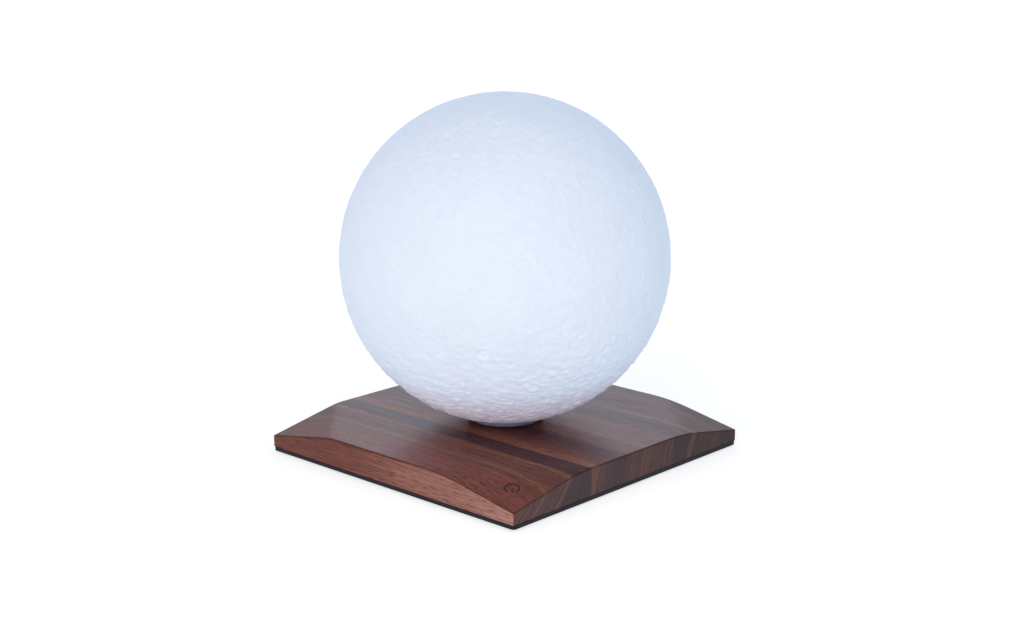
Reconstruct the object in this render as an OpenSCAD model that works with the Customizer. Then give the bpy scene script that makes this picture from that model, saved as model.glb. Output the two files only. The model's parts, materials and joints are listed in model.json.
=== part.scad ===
// Moon lamp: a printed moon shell that floats and turns over a square walnut base.
// Millimetres, +Z up. The origin is on the floor, under the middle of the base.

/* [Moon shell] */
// Outside diameter of the printed moon
moon_d = 177.8; // [165:0.1:190]
// Wall of the printed moon
shell_t = 1.6; // [1.3:0.1:2.4]
// Diameter of the opening under the moon
opening_d = 50; // [48:0.5:54]
// Number of craters pressed into the moon
crater_count = 40; // [24:1:60]
// Depth of the craters
crater_depth = 0.6; // [0.3:0.1:0.8]
// Radius of the smallest crater
crater_r_min = 3.5; // [2.5:0.5:5]
// Radius of the largest crater
crater_r_max = 9; // [6:0.5:10]

/* [Float unit under the moon] */
// Diameter of the smooth cap that closes the opening
cap_d = 44; // [43:0.5:46]
// Height of the cap below the collar
cap_h = 4.2; // [3.6:0.1:5]
// How far the cap reaches below the moon's round outline
cap_proud = 0.3; // [0.1:0.1:1.2]
// Height of the cap's upright rim, over its rounded lower edge
cap_rim_h = 0.2; // [0.1:0.1:2]
// Diameter of the cup's stem, inside the collar
stem_d = 40; // [39:0.5:42]
// Wall and floor of the cup
cup_t = 1.2; // [1:0.1:1.5]
// Diameter of the collar's flange, inside the moon
collar_d = 66; // [60:1:72]
// Thickness of the collar's flange at its rim
collar_rim_t = 2.5; // [2:0.1:4]
// Number of bayonet lugs on the cup
lug_count = 3; // [2:1:4]
// Width of a bayonet lug
lug_w = 6; // [4:0.5:7]
// Height of a bayonet lug
lug_h = 2; // [1.5:0.1:2.5]
// How far a lug stands out of the stem
lug_out = 2.2; // [1.5:0.1:2.5]
// Diameter of the float magnet
magnet_d = 32; // [30:0.5:32.5]
// Thickness of the float magnet
magnet_h = 10; // [8:0.5:12]
// Thickness of the receiver coil
rx_coil_t = 1.2; // [0.8:0.1:1.6]
// Inside diameter of the receiver coil
rx_coil_id = 14; // [10:1:20]
// Thickness of the ferrite sheet over the receiver coil
ferrite_t = 0.8; // [0.6:0.1:1.2]
// Depth of the keeper's plug inside the cup
keeper_plug_h = 1.6; // [1:0.1:2.4]
// Thickness of the keeper's lid
keeper_lid_t = 1.6; // [1.2:0.1:2.4]

/* [Light] */
// Thickness of the receiver board
rx_board_t = 1.2; // [1:0.1:1.6]
// Diameter of the receiver board and of the LED board
stack_d = 38.4; // [37.5:0.1:39]
// Thickness of the aluminium LED board
led_board_t = 1.6; // [1.2:0.1:2]
// Height of the posts under the receiver board
low_post_h = 3; // [2.5:0.5:5]
// Height of the posts under the LED board
high_post_h = 8; // [6:0.5:12]
// Number of posts, and of long screws through them
post_count = 3; // [3:1:4]
// Outside diameter of a post
post_d = 3.2; // [2.8:0.1:3.4]
// Diameter of the long screws that hold the stack
stack_screw_d = 1.6; // [1.4:0.1:1.8]
// Number of LEDs in the ring
led_count = 6; // [4:1:8]
// Side of one LED
led_w = 5; // [3:0.5:5]
// Height of one LED
led_h = 1.6; // [1:0.1:2]
// Radius of the ring of LEDs
led_ring_r = 10; // [9:0.5:11]

/* [Walnut base] */
// Width of the square base
base_w = 180; // [176:1:196]
// Height of the base from the bottom plate to the flat top
base_h = 17; // [16.8:0.1:22]
// Height of the base at its corners
corner_h = 8.4; // [7.5:0.1:10]
// Length along each side that a corner's slope takes up
corner_leg = 47; // [42:1:50]
// Radius that blends each slope into the flat top
blend_r = 75; // [40:5:100]
// Rounding of the block's upright edges
upright_r = 0.8; // [0.5:0.1:2]
// Wood left over the electronics bay
web_t = 2; // [1.6:0.1:3]
// Diameter of the electronics bay
bay_d = 136; // [132:1:140]
// Play between the moon's cap and the wood when the moon is set down
rest_gap = 0.3; // [0.2:0.1:0.6]

/* [Bottom plate and feet] */
// Thickness of the bottom plate
plate_t = 2; // [1.8:0.1:2.8]
// Rounding of the plate's corners
plate_r = 2; // [1:0.5:6]
// Diameter of a rubber foot
foot_d = 12; // [8:0.5:14]
// How far a foot stands below the plate
foot_proud = 1.2; // [0.8:0.1:2.5]
// How deep a foot sits in the plate
foot_seat = 0.8; // [0.5:0.1:1.2]
// Distance of a foot's middle from the two nearest sides
foot_in = 16; // [14:1:20]
// Distance of the plate screws from the middle, sideways
plate_screw_x = 76; // [74:0.5:78]
// Distance of the plate screws from the middle, front to back
plate_screw_y = 48; // [46:1:50]
// Diameter of the plate screws
plate_screw_d = 3; // [2.5:0.1:3.2]
// Length of the plate screws below the wood
plate_screw_len = 5; // [4:0.5:5.5]
// Outside diameter of the brass inserts
insert_d = 4.8; // [4.6:0.1:6]
// Length of the brass inserts
insert_len = 6; // [5.5:0.1:7]

/* [Levitation board] */
// Room between the main board and the wall of the bay
board_room = 6; // [5:0.5:7]
// Thickness of the main board
board_t = 1.6; // [1.2:0.1:1.8]
// Height of the plate's bosses under the board
boss_h = 1.5; // [1:0.1:1.8]
// Diameter of the plate's bosses
boss_d = 6.4; // [5:0.1:7]
// Number of board screws
board_screw_count = 4; // [3:1:4]
// Distance of the board screws from the board's edge
board_screw_in = 5; // [4:0.5:7]
// Diameter of the board screws
board_screw_d = 2; // [1.8:0.1:2.4]
// Room between the coils and the steel yoke
coil_room = 2.2; // [2:0.1:4]
// Room between the coils and the sensor board
sensor_room = 0.6; // [0.4:0.1:1.2]
// Height of a coil's bobbin
bobbin_h = 7.6; // [7:0.1:8]
// Thickness of a bobbin's flanges and barrel
bobbin_t = 0.8; // [0.6:0.1:1]
// Diameter of a coil's iron core
core_d = 6; // [5:0.5:8]
// Inside diameter of the transmitter coil
tx_coil_id = 26; // [20:1:32]
// Outside diameter of the transmitter coil
tx_coil_od = 56; // [52:1:60]
// Thickness of the transmitter coil
tx_coil_t = 1.2; // [1:0.1:1.4]
// Number of magnets in the base
ring_magnet_count = 12; // [8:1:14]
// Diameter of a base magnet
ring_magnet_d = 16; // [12:0.5:16.5]
// Thickness of a base magnet
ring_magnet_h = 5; // [4:0.5:6]
// Width of the board's rim, outside the steel yoke
rim_w = 12.5; // [12:0.5:13.5]
// Radial width of the steel yoke under the base magnets
yoke_w = 19; // [17:0.5:20]
// Thickness of the steel yoke
yoke_t = 1.5; // [1:0.1:2]
// Side of the sensor board between the coils
sensor_board_w = 8; // [7:0.1:8.4]
// Thickness of the sensor board
sensor_board_t = 1; // [0.8:0.1:1.6]
// Side of the post under the sensor board
sensor_post_w = 6; // [4:0.5:7]
// Height of the post under the sensor board
sensor_post_h = 5; // [4:0.5:5.5]

/* [Parts on the boards] */
// Side of the controller chip
chip_w = 8; // [6:0.5:9]
// Height of the controller chip
chip_h = 1.4; // [1:0.1:1.8]
// Length of a driver transistor, along the rim
transistor_len = 6.4; // [5:0.1:7]
// Width of a driver transistor
transistor_w = 5; // [4:0.1:6]
// Height of a driver transistor
transistor_h = 1.8; // [1.4:0.1:2]
// Diameter of a capacitor
capacitor_d = 8; // [6:0.5:9]
// Height of a capacitor
capacitor_h = 8; // [6:0.5:9]
// Side of the power inductor
inductor_w = 9; // [7:0.5:10]
// Height of the power inductor
inductor_h = 4.5; // [3:0.5:6]
// Length of a Hall sensor
sensor_len = 3; // [2.5:0.1:4]
// Width of a Hall sensor
sensor_w = 1.6; // [1.2:0.1:1.9]
// Height of a Hall sensor
sensor_h = 1.3; // [1:0.1:1.4]
// Distance between two Hall sensors' middles
sensor_step = 2.2; // [2:0.1:2.6]
// Side of the rectifier chip in the moon
rectifier_w = 6; // [4:0.5:7]
// Height of the rectifier chip
rectifier_h = 1.5; // [1:0.1:2]
// Diameter of the smoothing capacitor in the moon
smoother_d = 5; // [4:0.5:6]
// Height of the smoothing capacitor
smoother_h = 5.4; // [4:0.1:5.8]
// Distance of the parts on the receiver board from its middle
rx_part_r = 7; // [6:0.5:9]
// Length of the touch wire's header
header_len = 6; // [5:0.5:8]
// Width of the touch wire's header
header_w = 4; // [3:0.5:6]
// Height of the touch wire's header
header_h = 4; // [3:0.2:5]

/* [Power inlet] */
// Width of the inlet's housing
jack_w = 9; // [8:0.5:10]
// Height of the inlet's housing
jack_h = 8; // [7.8:0.1:8.4]
// Length of the inlet's housing
jack_len = 12; // [11:0.5:14]
// Diameter of the inlet's nose
jack_nose_d = 7.6; // [7.4:0.1:7.6]
// Diameter of the socket that takes the plug
jack_bore_d = 5.8; // [5.6:0.1:6]
// Depth of the socket
jack_bore_len = 9.5; // [9:0.5:10]
// Diameter of the inlet's centre pin
jack_pin_d = 2; // [1.8:0.1:2.5]
// Wood left in front of the inlet's housing
jack_wall = 2.4; // [2:0.1:3]
// How far the nose is set back from the rear face
jack_back = 0.6; // [0.3:0.1:1.5]

/* [Touch switch] */
// Distance of the touch spot from the front right corner
touch_in = 21; // [20:0.5:25]
// Diameter of the copper pad under the touch spot
touch_d = 13; // [10:0.5:13]
// Thickness of the copper pad
touch_t = 0.4; // [0.3:0.1:0.6]
// Wood left over the copper pad
touch_web = 3; // [2.5:0.1:3.5]
// Diameter of the touch wire
wire_d = 1.2; // [1:0.1:1.6]
// Width of the groove for the touch wire
groove_w = 4; // [3:0.5:5]

/* [Hidden] */
$fn = 96;

// Clearances
fit = 0.05;       // round piece seated in a hole of its own body
slip = 0.15;      // stem in its collar
turn = 0.08;      // magnet that the moon turns about
glue = 0.1;       // glue line between the moon and its collar
room = 0.5;       // milled pocket round a fitted piece
hole_play = 0.4;  // screw in a through hole, on the diameter
head_play = 0.2;  // screw's head in its countersink, on the diameter
tip_room = 0.2;   // room under the tip of a screw
past = 1;         // how far a cutter runs past what it cuts

// Heights in the base
plate_z = foot_proud;
wood_z = plate_z + plate_t;
top_z = plate_z + base_h;
corner_z = plate_z + corner_h;
bay_z = top_z - web_t;
board_z = wood_z + boss_h;
board_top = board_z + board_t;
bobbin_top = board_top + bobbin_h;
sensor_z = board_top + sensor_post_h;

// Middles of the feet, and the bobbins' barrels
foot_at = base_w / 2 - foot_in;
barrel_d = core_d + 2 * fit + 2 * bobbin_t;

// The main board in its bay, and what stands on it, from the rim inwards
board_d = bay_d - 2 * board_room;
board_screw_r = board_d / 2 - board_screw_in;
yoke_r = board_d / 2 - rim_w;
rim_r = yoke_r + rim_w / 2;
ring_magnet_r = yoke_r - yoke_w / 2;

// The four coils fill the diagonals from the sensor board out to the yoke
coil_outer = yoke_r - yoke_w - coil_room;
coil_inner = sensor_board_w / sqrt(2) + sensor_room;
bobbin_d = coil_outer - coil_inner;
coil_off = (coil_outer + coil_inner) / 2 / sqrt(2);

// Corner slopes, measured outwards from the middle along a diagonal
diagonal = base_w / sqrt(2);
ridge = diagonal - corner_leg / sqrt(2);
slope = atan((top_z - corner_z) / (diagonal - ridge));
blend_len = blend_r * tan(slope / 2);

// Heights in the moon
cap_z = top_z + rest_gap;
cap_edge_r = cap_h - cap_rim_h;
moon_r = moon_d / 2;
moon_z = cap_z + moon_r + cap_proud;
inner_r = moon_r - shell_t;
collar_z = cap_z + cap_h;
glue_r = inner_r - glue;
collar_top = moon_z - sqrt(pow(glue_r, 2) - pow(collar_d / 2, 2)) + collar_rim_t;
lug_z = collar_top + glue;
stem_top = lug_z + lug_h + cup_t;
cup_floor = cap_z + cup_t;
cup_r = stem_d / 2 - cup_t;
coil_top = cup_floor + rx_coil_t;
cage_z = coil_top + ferrite_t;
magnet_z = cage_z + glue;
cage_top = magnet_z + magnet_h + glue;
cup_rim = max(stem_top, cage_top + keeper_plug_h);
keeper_top = cup_rim + keeper_lid_t;
rx_board_z = keeper_top + low_post_h;
led_board_z = rx_board_z + rx_board_t + high_post_h;
led_z = led_board_z + led_board_t;
stack_r = (magnet_d / 2 + turn + cup_r - fit) / 2;
stack_screw_head = 1;     // height of a stack screw's head
stack_screw_bite = 4;     // how deep a stack screw goes into the cage
stack_head_step = 0.2;    // how far a post stands out round a screw's head

// The inlet
jack_z = board_top + jack_h / 2;
jack_top = board_top + jack_h;
jack_front = base_w / 2 - jack_wall - fit;
jack_rear = jack_front - jack_len;
jack_mouth = base_w / 2 - jack_back;
tongue_edge = 1.5;        // board on each side of the inlet
tongue_w = jack_w + 2 * tongue_edge;
tongue_in = 8;            // how far the room for the tongue reaches into the bay
jack_pin_in = 1;          // housing behind the pin, and room in front of it

// The touch spot, on the slope of the corner between +X and -Y
touch_r = diagonal - touch_in;
pocket_d = touch_d + 2 * room;
pocket_z = top_z - (touch_r + pocket_d / 2 - ridge) * tan(slope) - touch_web;
touch_at = -45;

// Angles of the parts on the main board's rim, outside the yoke
chip_at = 250;
transistor_at = [150, 166, 194, 210];
capacitor_at = [62, 76];
inductor_at = 40;
board_screw_at = 22.5;
board_screw_floor = 0.8;  // plate left under a board screw's hole
board_screw_len = boss_h + plate_t - board_screw_floor;
board_head = [3.8, 1.3];  // diameter and height of a board screw's head
plate_head = [6, 1.6];    // diameter and height of a plate screw's head

// The touch wire, as points [distance from the middle, height]
wire_drop = 1.6;          // how far the wire dips from the header into its groove
wire_lead = 3;            // straight length of wire at the header
groove_lap = 2;           // how far the groove and the wire's dip overlap the bay's wall
wire_out = rim_r + header_len / 2;
wire_z = board_top + header_h / 2;
wire_low = wire_z - wire_drop;
wire_points = [
    [wire_out, wire_z],
    [wire_out + wire_lead, wire_z],
    [bay_d / 2 + groove_lap, wire_low],
    [touch_r, wire_low],
    [touch_r, pocket_z - touch_t]
];
groove_z = wire_low + wire_d;

// Craters are spread by the golden ratio and keep off the opening
golden = (sqrt(5) - 1) / 2;
crater_limit = 150;
// Point i of n spread evenly over a ball, as [inclination from +Z, turn about Z]
function spread(i, n) = [acos(1 - 2 * (i + 0.5) / n), i * 360 * golden];
// A number from 0 to 1 that scatters with i
function scatter(i) = i * sqrt(2) - floor(i * sqrt(2));
// Radius of crater i: many small, few large
function crater_r(i) = crater_r_min + (crater_r_max - crater_r_min) * pow(scatter(i), 2);

module tube(outer, inner, h) {
    difference() {
        cylinder(d = outer, h = h);
        translate([0, 0, -past]) cylinder(d = inner, h = h + 2 * past);
    }
}

// Children at count places round a circle of radius r, the first at angle start
module around(count, r, start = 0) {
    for (i = [0 : count - 1]) rotate(start + i * 360 / count) translate([r, 0, 0]) children();
}

// Children at the given angles on a circle of radius r
module at_angles(angles, r) {
    for (a = angles) rotate(a) translate([r, 0, 0]) children();
}

// Children at the four places (+-x, +-y)
module at_corners(x, y) {
    for (sx = [-1, 1], sy = [-1, 1]) translate([sx * x, sy * y, 0]) children();
}

// A box standing on z = 0, centred in X and Y
module block(size) {
    translate([-size[0] / 2, -size[1] / 2, 0]) cube(size);
}

// A square slab with rounded upright edges
module slab(w, r, h) {
    block([w - 2 * r, w, h]);
    block([w, w - 2 * r, h]);
    at_corners(w / 2 - r, w / 2 - r) cylinder(r = r, h = h);
}

// A screw along -Z with a cheese head above z = 0
module cheese_screw(d, len, head_d, head_h) {
    cylinder(d = head_d, h = head_h);
    translate([0, 0, -len]) cylinder(d = d, h = len + head_h / 2);
}

// Round bar from a to b
module rod(a, b, d) {
    v = b - a;
    translate(a) rotate([0, acos(v[2] / norm(v)), atan2(v[1], v[0])]) cylinder(d = d, h = norm(v));
}

// The moon and what it carries

module crater(i) {
    at = spread(i, crater_count);
    r = crater_r(i);
    ball = (pow(r, 2) + pow(crater_depth, 2)) / (2 * crater_depth);
    rotate([0, at[0], at[1]]) translate([0, 0, moon_r - crater_depth + ball]) sphere(r = ball);
}

module moon_shell() {
    color("aliceblue") translate([0, 0, moon_z]) difference() {
        sphere(r = moon_r);
        sphere(r = inner_r);
        translate([0, 0, -moon_r - past]) cylinder(d = opening_d, h = moon_r);
        for (i = [0 : crater_count - 1])
            if (spread(i, crater_count)[0] < crater_limit) crater(i);
    }
}

module collar_ring() {
    color("white") difference() {
        union() {
            translate([0, 0, collar_z]) cylinder(d = opening_d - 2 * glue, h = collar_top - collar_z);
            intersection() {
                translate([0, 0, collar_z]) cylinder(d = collar_d, h = collar_top - collar_z);
                translate([0, 0, moon_z]) sphere(r = glue_r);
            }
        }
        translate([0, 0, collar_z - past])
            cylinder(d = stem_d + 2 * slip, h = collar_top - collar_z + 2 * past);
        translate([0, 0, collar_z - past]) around(lug_count, 0, 180 / lug_count)
            translate([0, -lug_w / 2 - slip, 0])
                cube([stem_d / 2 + lug_out + slip, lug_w + 2 * slip, collar_top - collar_z + 2 * past]);
    }
}

module cap_outline() {
    r = cap_d / 2 - cap_edge_r;
    square([r, cap_h]);
    translate([0, cap_edge_r]) square([cap_d / 2, cap_h - cap_edge_r]);
    translate([r, cap_edge_r]) circle(r = cap_edge_r);
}

module float_cup() {
    color("lavender") difference() {
        union() {
            translate([0, 0, cap_z]) rotate_extrude() intersection() {
                cap_outline();
                square([cap_d, cap_h]);
            }
            translate([0, 0, collar_z]) cylinder(d = stem_d, h = cup_rim - collar_z);
            translate([0, 0, lug_z]) around(lug_count, 0) translate([cup_r + cup_t / 2, -lug_w / 2, 0])
                cube([cup_t / 2 + lug_out, lug_w, lug_h]);
        }
        translate([0, 0, cup_floor]) cylinder(r = cup_r, h = cup_rim);
    }
}

module receiver_coil() {
    color("peru") translate([0, 0, cup_floor]) tube(2 * (cup_r - room), rx_coil_id, rx_coil_t);
}

module receiver_ferrite() {
    color("dimgray") translate([0, 0, coil_top]) cylinder(r = cup_r - room, h = ferrite_t);
}

module magnet_cage() {
    color("whitesmoke") difference() {
        translate([0, 0, cage_z]) tube(2 * (cup_r - fit), magnet_d + 2 * turn, cage_top - cage_z);
        translate([0, 0, cage_top - stack_screw_bite - past]) around(post_count, stack_r)
            cylinder(d = stack_screw_d + 2 * fit, h = stack_screw_bite + 2 * past);
    }
}

module float_magnet() {
    color("silver") translate([0, 0, magnet_z]) cylinder(d = magnet_d, h = magnet_h);
}

module magnet_keeper() {
    color("whitesmoke") difference() {
        union() {
            translate([0, 0, cage_top]) cylinder(r = cup_r - fit, h = cup_rim - cage_top + past);
            translate([0, 0, cup_rim]) cylinder(d = stem_d, h = keeper_lid_t);
        }
        translate([0, 0, cage_top - past]) around(post_count, stack_r)
            cylinder(d = stack_screw_d + 2 * fit, h = keeper_top - cage_top + 2 * past);
    }
}

module stack_disc(z, t) {
    difference() {
        translate([0, 0, z]) cylinder(d = stack_d, h = t);
        translate([0, 0, z - past]) around(post_count, stack_r)
            cylinder(d = stack_screw_d + 2 * fit, h = t + 2 * past);
    }
}

module posts(z, h) {
    translate([0, 0, z]) around(post_count, stack_r) tube(post_d, stack_screw_d + 2 * fit, h);
}

module receiver_board() {
    color("seagreen") stack_disc(rx_board_z, rx_board_t);
}

module receiver_chips() {
    color("black") translate([0, 0, rx_board_z + rx_board_t]) {
        at_angles([90, 210], rx_part_r) block([rectifier_w, rectifier_w, rectifier_h]);
        at_angles([330], rx_part_r) cylinder(d = smoother_d, h = smoother_h);
    }
}

module low_posts() {
    color("gainsboro") posts(keeper_top, low_post_h);
}

module high_posts() {
    color("gainsboro") posts(rx_board_z + rx_board_t, high_post_h);
}

module led_board() {
    color("white") stack_disc(led_board_z, led_board_t);
}

module leds() {
    color("lightyellow") translate([0, 0, led_z]) {
        around(led_count, led_ring_r, 180 / led_count) block([led_w, led_w, led_h]);
        block([led_w, led_w, led_h]);
    }
}

module stack_screws() {
    color("gainsboro") translate([0, 0, led_z]) around(post_count, stack_r)
        cheese_screw(stack_screw_d, led_z - cage_top + stack_screw_bite, post_d - 2 * stack_head_step,
                     stack_screw_head);
}

// The base

// What is cut off one corner: everything over the slope and its blend, along +X
module corner_cut() {
    far = diagonal + past;
    rotate([90, 0, 0]) translate([0, 0, -base_w / 2]) linear_extrude(base_w) difference() {
        polygon([
            [ridge - blend_len, top_z],
            [ridge - blend_len, top_z + past],
            [far, top_z + past],
            [far, top_z - (far - ridge) * tan(slope)],
            [ridge + blend_len * cos(slope), top_z - blend_len * sin(slope)]
        ]);
        translate([ridge - blend_len, top_z - blend_r]) circle(r = blend_r, $fn = 240);
    }
}

module walnut_block() {
    color("saddlebrown") difference() {
        translate([0, 0, wood_z]) slab(base_w, upright_r, top_z - wood_z);
        for (a = [45 : 90 : 315]) rotate(a) corner_cut();
        translate([0, 0, wood_z - past]) cylinder(d = bay_d, h = bay_z - wood_z + past);
        jack_room();
        touch_room();
        at_corners(plate_screw_x, plate_screw_y) translate([0, 0, wood_z - past])
            cylinder(d = insert_d + 2 * fit, h = insert_len + past);
    }
}

// Room in the wood for the board's tongue and the power inlet
module jack_room() {
    inner = bay_d / 2 - tongue_in;
    translate([-tongue_w / 2 - room, inner, wood_z - past])
        cube([tongue_w + 2 * room, base_w / 2 - jack_wall - inner, jack_top + room - wood_z + past]);
    translate([0, jack_front - past, jack_z]) rotate([-90, 0, 0])
        cylinder(d = jack_nose_d + 2 * fit, h = jack_wall + 2 * past);
}

// Room in the wood for the copper pad and its wire
module touch_room() {
    rotate(touch_at) {
        translate([touch_r, 0, wood_z - past]) cylinder(d = pocket_d, h = pocket_z - wood_z + past);
        translate([bay_d / 2 - groove_lap, -groove_w / 2, wood_z - past])
            cube([touch_r - bay_d / 2, groove_w, groove_z - wood_z + past]);
    }
}

module bottom_plate() {
    color("#1c2026") difference() {
        union() {
            translate([0, 0, plate_z]) slab(base_w, plate_r, plate_t);
            translate([0, 0, wood_z]) around(board_screw_count, board_screw_r, board_screw_at)
                cylinder(d = boss_d, h = boss_h);
        }
        translate([0, 0, plate_z - past]) at_corners(foot_at, foot_at)
            cylinder(d = foot_d + 2 * fit, h = foot_seat + past);
        translate([0, 0, board_z - board_screw_len]) around(board_screw_count, board_screw_r, board_screw_at)
            cylinder(d = board_screw_d + 2 * fit, h = board_screw_len + past);
        translate([0, 0, plate_z]) at_corners(plate_screw_x, plate_screw_y) {
            translate([0, 0, -past]) cylinder(d = plate_screw_d + hole_play, h = plate_t + 2 * past);
            translate([0, 0, -past]) cylinder(d = plate_head[0] + head_play, h = past);
            cylinder(d1 = plate_head[0] + head_play, d2 = plate_screw_d + head_play, h = plate_head[1]);
        }
    }
}

module feet() {
    color("dimgray") at_corners(foot_at, foot_at) cylinder(d = foot_d, h = foot_proud + foot_seat);
}

module plate_screws() {
    color("gray") at_corners(plate_screw_x, plate_screw_y) translate([0, 0, plate_z]) {
        cylinder(d1 = plate_head[0], d2 = plate_screw_d, h = plate_head[1]);
        cylinder(d = plate_screw_d, h = plate_t + plate_screw_len);
    }
}

module plate_inserts() {
    color("goldenrod") at_corners(plate_screw_x, plate_screw_y) translate([0, 0, wood_z])
        tube(insert_d, plate_screw_d + 2 * fit, insert_len);
}

module main_board() {
    color("darkgreen") difference() {
        translate([0, 0, board_z]) union() {
            cylinder(d = board_d, h = board_t);
            translate([-tongue_w / 2, 0, 0]) cube([tongue_w, jack_front, board_t]);
        }
        translate([0, 0, board_z - past]) around(board_screw_count, board_screw_r, board_screw_at)
            cylinder(d = board_screw_d + hole_play, h = board_t + 2 * past);
    }
}

module board_screws() {
    color("gainsboro") translate([0, 0, board_top]) around(board_screw_count, board_screw_r, board_screw_at)
        cheese_screw(board_screw_d, board_t + board_screw_len - tip_room, board_head[0], board_head[1]);
}

module coil_bobbins() {
    color("ivory") at_corners(coil_off, coil_off) translate([0, 0, board_top]) difference() {
        union() {
            cylinder(d = bobbin_d, h = bobbin_t);
            cylinder(d = barrel_d, h = bobbin_h);
            translate([0, 0, bobbin_h - bobbin_t]) cylinder(d = bobbin_d, h = bobbin_t);
        }
        translate([0, 0, -past]) cylinder(d = core_d + 2 * fit, h = bobbin_h + 2 * past);
    }
}

module coil_windings() {
    color("chocolate") at_corners(coil_off, coil_off) translate([0, 0, board_top + bobbin_t])
        tube(bobbin_d - 2 * room, barrel_d + 2 * fit, bobbin_h - 2 * bobbin_t);
}

module coil_cores() {
    color("slategray") at_corners(coil_off, coil_off) translate([0, 0, board_top])
        cylinder(d = core_d, h = bobbin_h);
}

module transmitter_coil() {
    color("peru") translate([0, 0, bobbin_top]) tube(tx_coil_od, tx_coil_id, tx_coil_t);
}

module magnet_yoke() {
    color("lightslategray") translate([0, 0, board_top])
        tube(2 * yoke_r, 2 * (yoke_r - yoke_w), yoke_t);
}

module base_magnets() {
    color("silver") translate([0, 0, board_top + yoke_t])
        around(ring_magnet_count, ring_magnet_r, 180 / ring_magnet_count)
            cylinder(d = ring_magnet_d, h = ring_magnet_h);
}

module sensor_post() {
    color("ivory") translate([0, 0, board_top]) block([sensor_post_w, sensor_post_w, sensor_post_h]);
}

module sensor_board() {
    color("seagreen") translate([0, 0, sensor_z]) block([sensor_board_w, sensor_board_w, sensor_board_t]);
}

module hall_sensors() {
    color("black") translate([0, 0, sensor_z + sensor_board_t])
        for (i = [-1 : 1]) translate([i * sensor_step, 0, 0]) block([sensor_w, sensor_len, sensor_h]);
}

module controller_chip() {
    color("black") translate([0, 0, board_top]) at_angles([chip_at], rim_r) block([chip_w, chip_w, chip_h]);
}

module driver_transistors() {
    color("black") translate([0, 0, board_top]) at_angles(transistor_at, rim_r)
        block([transistor_w, transistor_len, transistor_h]);
}

module capacitors() {
    color("midnightblue") translate([0, 0, board_top]) at_angles(capacitor_at, rim_r)
        cylinder(d = capacitor_d, h = capacitor_h);
}

module power_inductor() {
    color("dimgray") translate([0, 0, board_top]) at_angles([inductor_at], rim_r)
        block([inductor_w, inductor_w, inductor_h]);
}

module jack_housing() {
    color("black") difference() {
        union() {
            translate([-jack_w / 2, jack_rear, board_top]) cube([jack_w, jack_len, jack_h]);
            translate([0, jack_front - past, jack_z]) rotate([-90, 0, 0])
                cylinder(d = jack_nose_d, h = jack_mouth - jack_front + past);
        }
        translate([0, jack_mouth - jack_bore_len, jack_z]) rotate([-90, 0, 0])
            cylinder(d = jack_bore_d, h = jack_bore_len + past);
        translate([0, jack_rear + jack_pin_in, jack_z]) rotate([-90, 0, 0])
            cylinder(d = jack_pin_d + 2 * fit, h = jack_len);
    }
}

module jack_pin() {
    color("silver") translate([0, jack_rear + jack_pin_in, jack_z]) rotate([-90, 0, 0])
        cylinder(d = jack_pin_d, h = jack_mouth - jack_rear - 2 * jack_pin_in);
}

module touch_header() {
    color("white") rotate(touch_at) translate([rim_r, 0, board_top]) block([header_len, header_w, header_h]);
}

module touch_wire() {
    n = len(wire_points);
    spot = [for (p = wire_points) [p[0], 0, p[1]]];
    color("firebrick") rotate(touch_at) {
        for (i = [0 : n - 2]) rod(spot[i], spot[i + 1], wire_d);
        for (i = [1 : n - 2]) translate(spot[i]) sphere(d = wire_d + 2 * fit);
    }
}

module touch_pad() {
    color("peru") rotate(touch_at) translate([touch_r, 0, pocket_z - touch_t])
        cylinder(d = touch_d, h = touch_t);
}

moon_shell();
collar_ring();
float_cup();
float_magnet();
magnet_cage();
magnet_keeper();
receiver_coil();
receiver_ferrite();
receiver_board();
receiver_chips();
low_posts();
high_posts();
led_board();
leds();
stack_screws();
walnut_block();
bottom_plate();
feet();
plate_screws();
plate_inserts();
main_board();
board_screws();
coil_bobbins();
coil_windings();
coil_cores();
transmitter_coil();
base_magnets();
magnet_yoke();
sensor_post();
sensor_board();
hall_sensors();
controller_chip();
driver_transistors();
capacitors();
power_inductor();
jack_housing();
jack_pin();
touch_header();
touch_wire();
touch_pad();
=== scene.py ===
import json
import math
import random

import bmesh
import bpy
import numpy as np
from mathutils import Matrix, Quaternion, Vector, noise


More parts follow.
